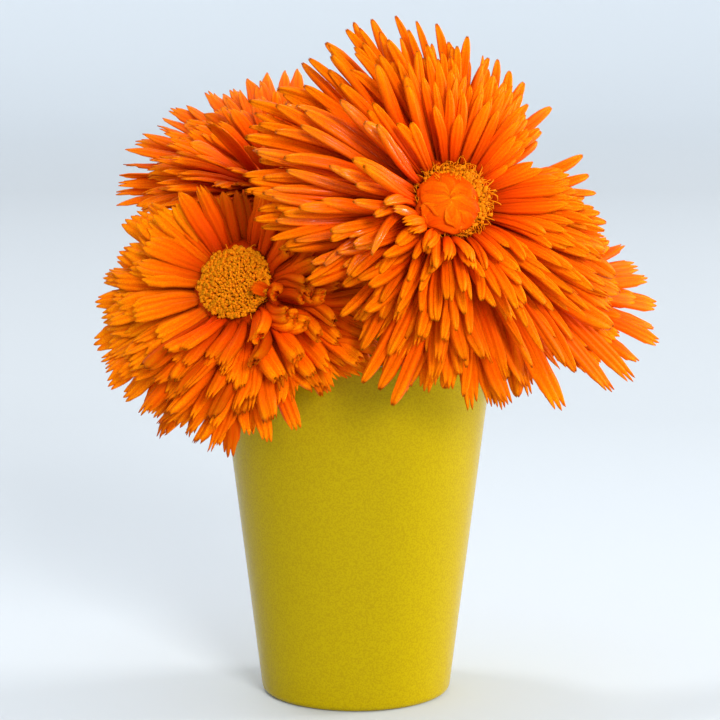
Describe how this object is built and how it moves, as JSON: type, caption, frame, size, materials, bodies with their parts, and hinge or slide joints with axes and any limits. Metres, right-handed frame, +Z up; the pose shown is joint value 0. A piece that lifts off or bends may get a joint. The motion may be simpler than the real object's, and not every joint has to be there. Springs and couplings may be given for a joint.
{
  "type": "calendula posy in a vase",
  "caption": "Small posy of orange calendula blooms with many narrow petals, standing in water in a plain tapered yellow tumbler vase.",
  "frame": {"origin": "the middle of the vase's flat underside", "axes": "+Z up along the vase's axis, -Y towards the front where the large bloom faces, +X to the right seen from the front"},
  "size_m": [0.1373, 0.1009, 0.167],
  "materials": {
    "yellow_glaze": "satin",
    "water": "gloss",
    "orange_petal": "satin",
    "golden_floret": "matte",
    "green_stem": "matte"
  },
  "bodies": {
    "root": {"vase": "yellow_glaze", "water": "water", "large_petals": "orange_petal", "large_disc": "golden_floret", "large_stem": "green_stem", "left_petals": "orange_petal", "left_disc": "golden_floret", "left_stem": "green_stem", "back_petals": "orange_petal", "back_disc": "golden_floret", "back_stem": "green_stem", "side_petals": "orange_petal", "side_disc": "golden_floret", "side_stem": "green_stem"}
  },
  "joints": []
}
